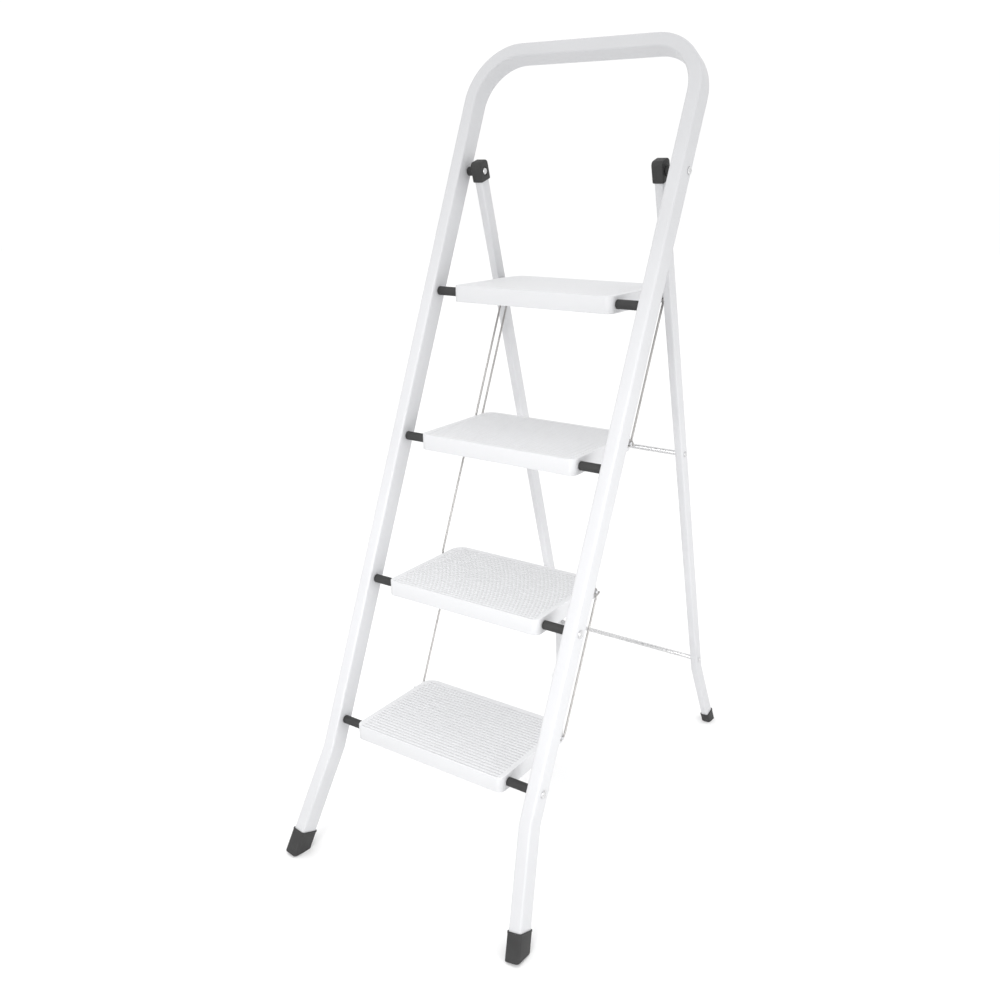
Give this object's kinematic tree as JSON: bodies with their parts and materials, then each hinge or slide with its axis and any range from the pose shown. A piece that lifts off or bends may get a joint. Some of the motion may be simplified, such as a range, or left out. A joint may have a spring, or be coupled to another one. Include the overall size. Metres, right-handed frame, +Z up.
{
  "type": "platform step ladder",
  "caption": "Folding step ladder with flat treads, a top platform, a bent-tube hand rail and a hinged rear frame that wire links tie to the treads.",
  "frame": {"origin": "the middle of the open ladder's footprint, on the floor", "axes": "+X to the right of someone standing in front of the ladder and facing it, +Y from the front feet to the rear feet, +Z up"},
  "size_m": [0.4888, 0.8588, 1.2995],
  "materials": {
    "white_paint": "white powder coat, satin",
    "white_tread": "white moulded plastic, fine grip ribs on top",
    "black_plastic": "black moulded plastic, fine grain",
    "zinc_steel": "zinc plated steel"
  },
  "bodies": {
    "front_frame": {"front_frame": "white_paint", "front_foot_left": "black_plastic", "front_foot_right": "black_plastic", "step_axle_tread_1": "zinc_steel", "step_axle_tread_2": "zinc_steel", "step_axle_tread_3": "zinc_steel", "step_axle_platform": "zinc_steel", "axle_spacer_tread_1_left": "black_plastic", "axle_spacer_tread_1_right": "black_plastic", "axle_spacer_tread_2_left": "black_plastic", "axle_spacer_tread_2_right": "black_plastic", "axle_spacer_tread_3_left": "black_plastic", "axle_spacer_tread_3_right": "black_plastic", "axle_spacer_platform_left": "black_plastic", "axle_spacer_platform_right": "black_plastic", "hinge_pin_left": "zinc_steel", "hinge_pin_right": "zinc_steel", "hinge_collar_left": "black_plastic", "hinge_collar_right": "black_plastic"},
    "rear_frame": {"rear_leg_left": "white_paint", "rear_leg_right": "white_paint", "hinge_cap_left": "black_plastic", "hinge_cap_right": "black_plastic", "rear_foot_left": "black_plastic", "rear_foot_right": "black_plastic", "rear_crossbar_upper": "zinc_steel", "rear_crossbar_lower": "zinc_steel", "slide_bar": "zinc_steel"},
    "tread_1": {"tread_1": "white_tread", "link_rod_tread_1": "white_paint"},
    "tread_2": {"tread_2": "white_tread", "link_rod_tread_2": "white_paint"},
    "tread_3": {"tread_3": "white_tread", "link_rod_tread_3": "white_paint"},
    "platform": {"platform": "white_tread", "link_rod_platform": "white_paint"},
    "links_1_2": {"link_wire_tread_1_tread_2_left": "zinc_steel", "link_wire_tread_1_tread_2_right": "zinc_steel"},
    "links_2_3": {"link_wire_tread_2_tread_3_left": "zinc_steel", "link_wire_tread_2_tread_3_right": "zinc_steel"},
    "links_3_platform": {"link_loop_tread_3_platform_left": "zinc_steel", "link_loop_tread_3_platform_right": "zinc_steel"}
  },
  "joints": [
    {"name": "rear_fold", "type": "hinge", "parent": "front_frame", "child": "rear_frame", "pos_m": [0, 0.07537, 1.10724], "axis": [-1, 0, 0], "range_deg": [0, 35.5]},
    {"name": "tread_1_fold", "type": "hinge", "parent": "front_frame", "child": "tread_1", "pos_m": [0, -0.31052, 0.23145], "axis": [1, 0, 0], "range_deg": [0, 56.8]},
    {"name": "tread_2_fold", "type": "hinge", "parent": "front_frame", "child": "tread_2", "pos_m": [0, -0.21163, 0.46106], "axis": [1, 0, 0], "range_deg": [0, 56.8]},
    {"name": "tread_3_fold", "type": "hinge", "parent": "front_frame", "child": "tread_3", "pos_m": [0, -0.11275, 0.69067], "axis": [1, 0, 0], "range_deg": [0, 56.8]},
    {"name": "platform_fold", "type": "hinge", "parent": "front_frame", "child": "platform", "pos_m": [0, -0.01386, 0.92028], "axis": [1, 0, 0], "range_deg": [0, 56.8]},
    {"name": "links_1_2_swing", "type": "hinge", "parent": "tread_2", "child": "links_1_2", "pos_m": [0, -0.06163, 0.46406], "axis": [-1, 0, 0], "range_deg": [0, 56.8]},
    {"name": "links_2_3_swing", "type": "hinge", "parent": "tread_3", "child": "links_2_3", "pos_m": [0, 0.03725, 0.69367], "axis": [-1, 0, 0], "range_deg": [0, 56.8]},
    {"name": "links_3_platform_swing", "type": "hinge", "parent": "platform", "child": "links_3_platform", "pos_m": [0, 0.13614, 0.92328], "axis": [-1, 0, 0], "range_deg": [0, 56.8]}
  ],
  "couplings": [
    {"joint": "tread_1_fold", "follows": "rear_fold", "ratio": 1.6},
    {"joint": "tread_2_fold", "follows": "rear_fold", "ratio": 1.6},
    {"joint": "tread_3_fold", "follows": "rear_fold", "ratio": 1.6},
    {"joint": "platform_fold", "follows": "rear_fold", "ratio": 1.6},
    {"joint": "links_1_2_swing", "follows": "rear_fold", "ratio": 1.6},
    {"joint": "links_2_3_swing", "follows": "rear_fold", "ratio": 1.6},
    {"joint": "links_3_platform_swing", "follows": "rear_fold", "ratio": 1.6}
  ]
}
